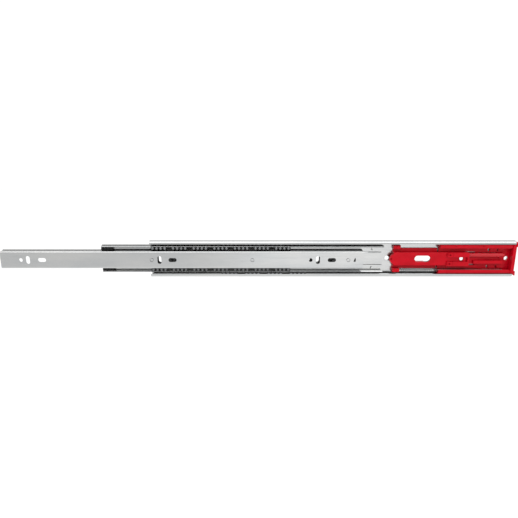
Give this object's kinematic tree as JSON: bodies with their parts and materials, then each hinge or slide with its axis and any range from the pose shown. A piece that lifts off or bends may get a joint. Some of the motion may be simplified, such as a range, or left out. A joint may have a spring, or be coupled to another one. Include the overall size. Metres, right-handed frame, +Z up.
{
  "type": "cabinet drawer slide",
  "caption": "Telescoping ball-bearing side-mount drawer slide with nested steel members and a red soft-close unit at its rear end.",
  "frame": {"origin": "on the cabinet member's mounting face, halfway along its length and halfway up it", "axes": "+X along the slide towards the back of the cabinet, so the drawer opens towards -X; +Y from the drawer towards the cabinet side; +Z up"},
  "size_m": [0.6355, 0.0127, 0.046],
  "materials": {
    "zinc_steel": "bright zinc plated, rolled strip steel",
    "ball_steel": "polished bearing steel",
    "red_plastic": "semi-gloss moulded acetal",
    "black_plastic": "matte moulded plastic",
    "spring_steel": "drawn spring wire"
  },
  "bodies": {
    "cabinet_member": {"outer_member": "zinc_steel", "soft_close_housing": "red_plastic", "damper_cylinder": "red_plastic", "damper_gland": "black_plastic", "return_spring": "spring_steel"},
    "soft_close_carriage": {"latch_carriage": "red_plastic", "damper_rod": "spring_steel", "catch_pin_upper": "spring_steel", "catch_pin_lower": "spring_steel"},
    "catch": {"catch_lever": "red_plastic"},
    "intermediate_member": {"middle_member": "zinc_steel", "front_bumper_upper": "black_plastic", "front_bumper_lower": "black_plastic"},
    "drawer_member": {"inner_member": "zinc_steel", "web_rivet_1": "zinc_steel", "web_rivet_2": "zinc_steel", "web_rivet_3": "zinc_steel"},
    "outer_cage": {"outer_ball_cage": "zinc_steel", "outer_ball_upper_1": "ball_steel", "outer_ball_upper_2": "ball_steel", "outer_ball_upper_3": "ball_steel", "outer_ball_upper_4": "ball_steel", "outer_ball_lower_1": "ball_steel", "outer_ball_lower_2": "ball_steel", "outer_ball_lower_3": "ball_steel", "outer_ball_lower_4": "ball_steel"},
    "inner_cage": {"inner_ball_cage": "zinc_steel", "inner_ball_upper_1": "ball_steel", "inner_ball_upper_2": "ball_steel", "inner_ball_upper_3": "ball_steel", "inner_ball_upper_4": "ball_steel", "inner_ball_upper_5": "ball_steel", "inner_ball_upper_6": "ball_steel", "inner_ball_upper_7": "ball_steel", "inner_ball_lower_1": "ball_steel", "inner_ball_lower_2": "ball_steel", "inner_ball_lower_3": "ball_steel", "inner_ball_lower_4": "ball_steel", "inner_ball_lower_5": "ball_steel", "inner_ball_lower_6": "ball_steel", "inner_ball_lower_7": "ball_steel"}
  },
  "joints": [
    {"name": "carriage_travel", "type": "slide", "parent": "cabinet_member", "child": "soft_close_carriage", "axis": [1, 0, 0], "range_m": [0, 0.047], "deforming": ["return_spring"]},
    {"name": "catch_tilt", "type": "hinge", "parent": "soft_close_carriage", "child": "catch", "pos_m": [0.1432, -0.0094, 0], "axis": [0, 0, 1], "range_deg": [0, 3], "stiffness_Nm_per_rad": 0.02},
    {"name": "middle_slide", "type": "slide", "parent": "soft_close_carriage", "child": "intermediate_member", "axis": [1, 0, 0], "range_m": [-0.1657, 0.0123]},
    {"name": "drawer_slide", "type": "slide", "parent": "intermediate_member", "child": "drawer_member", "axis": [1, 0, 0], "range_m": [-0.092, 0.1232]},
    {"name": "outer_cage_slide", "type": "slide", "parent": "cabinet_member", "child": "outer_cage", "axis": [1, 0, 0], "range_m": [-0.09, 0.01]},
    {"name": "inner_cage_slide", "type": "slide", "parent": "intermediate_member", "child": "inner_cage", "axis": [1, 0, 0], "range_m": [-0.047, 0.063]}
  ],
  "couplings": [
    {"joint": "outer_cage_slide", "follows": "middle_slide", "ratio": 0.5},
    {"joint": "inner_cage_slide", "follows": "drawer_slide", "ratio": 0.5}
  ]
}
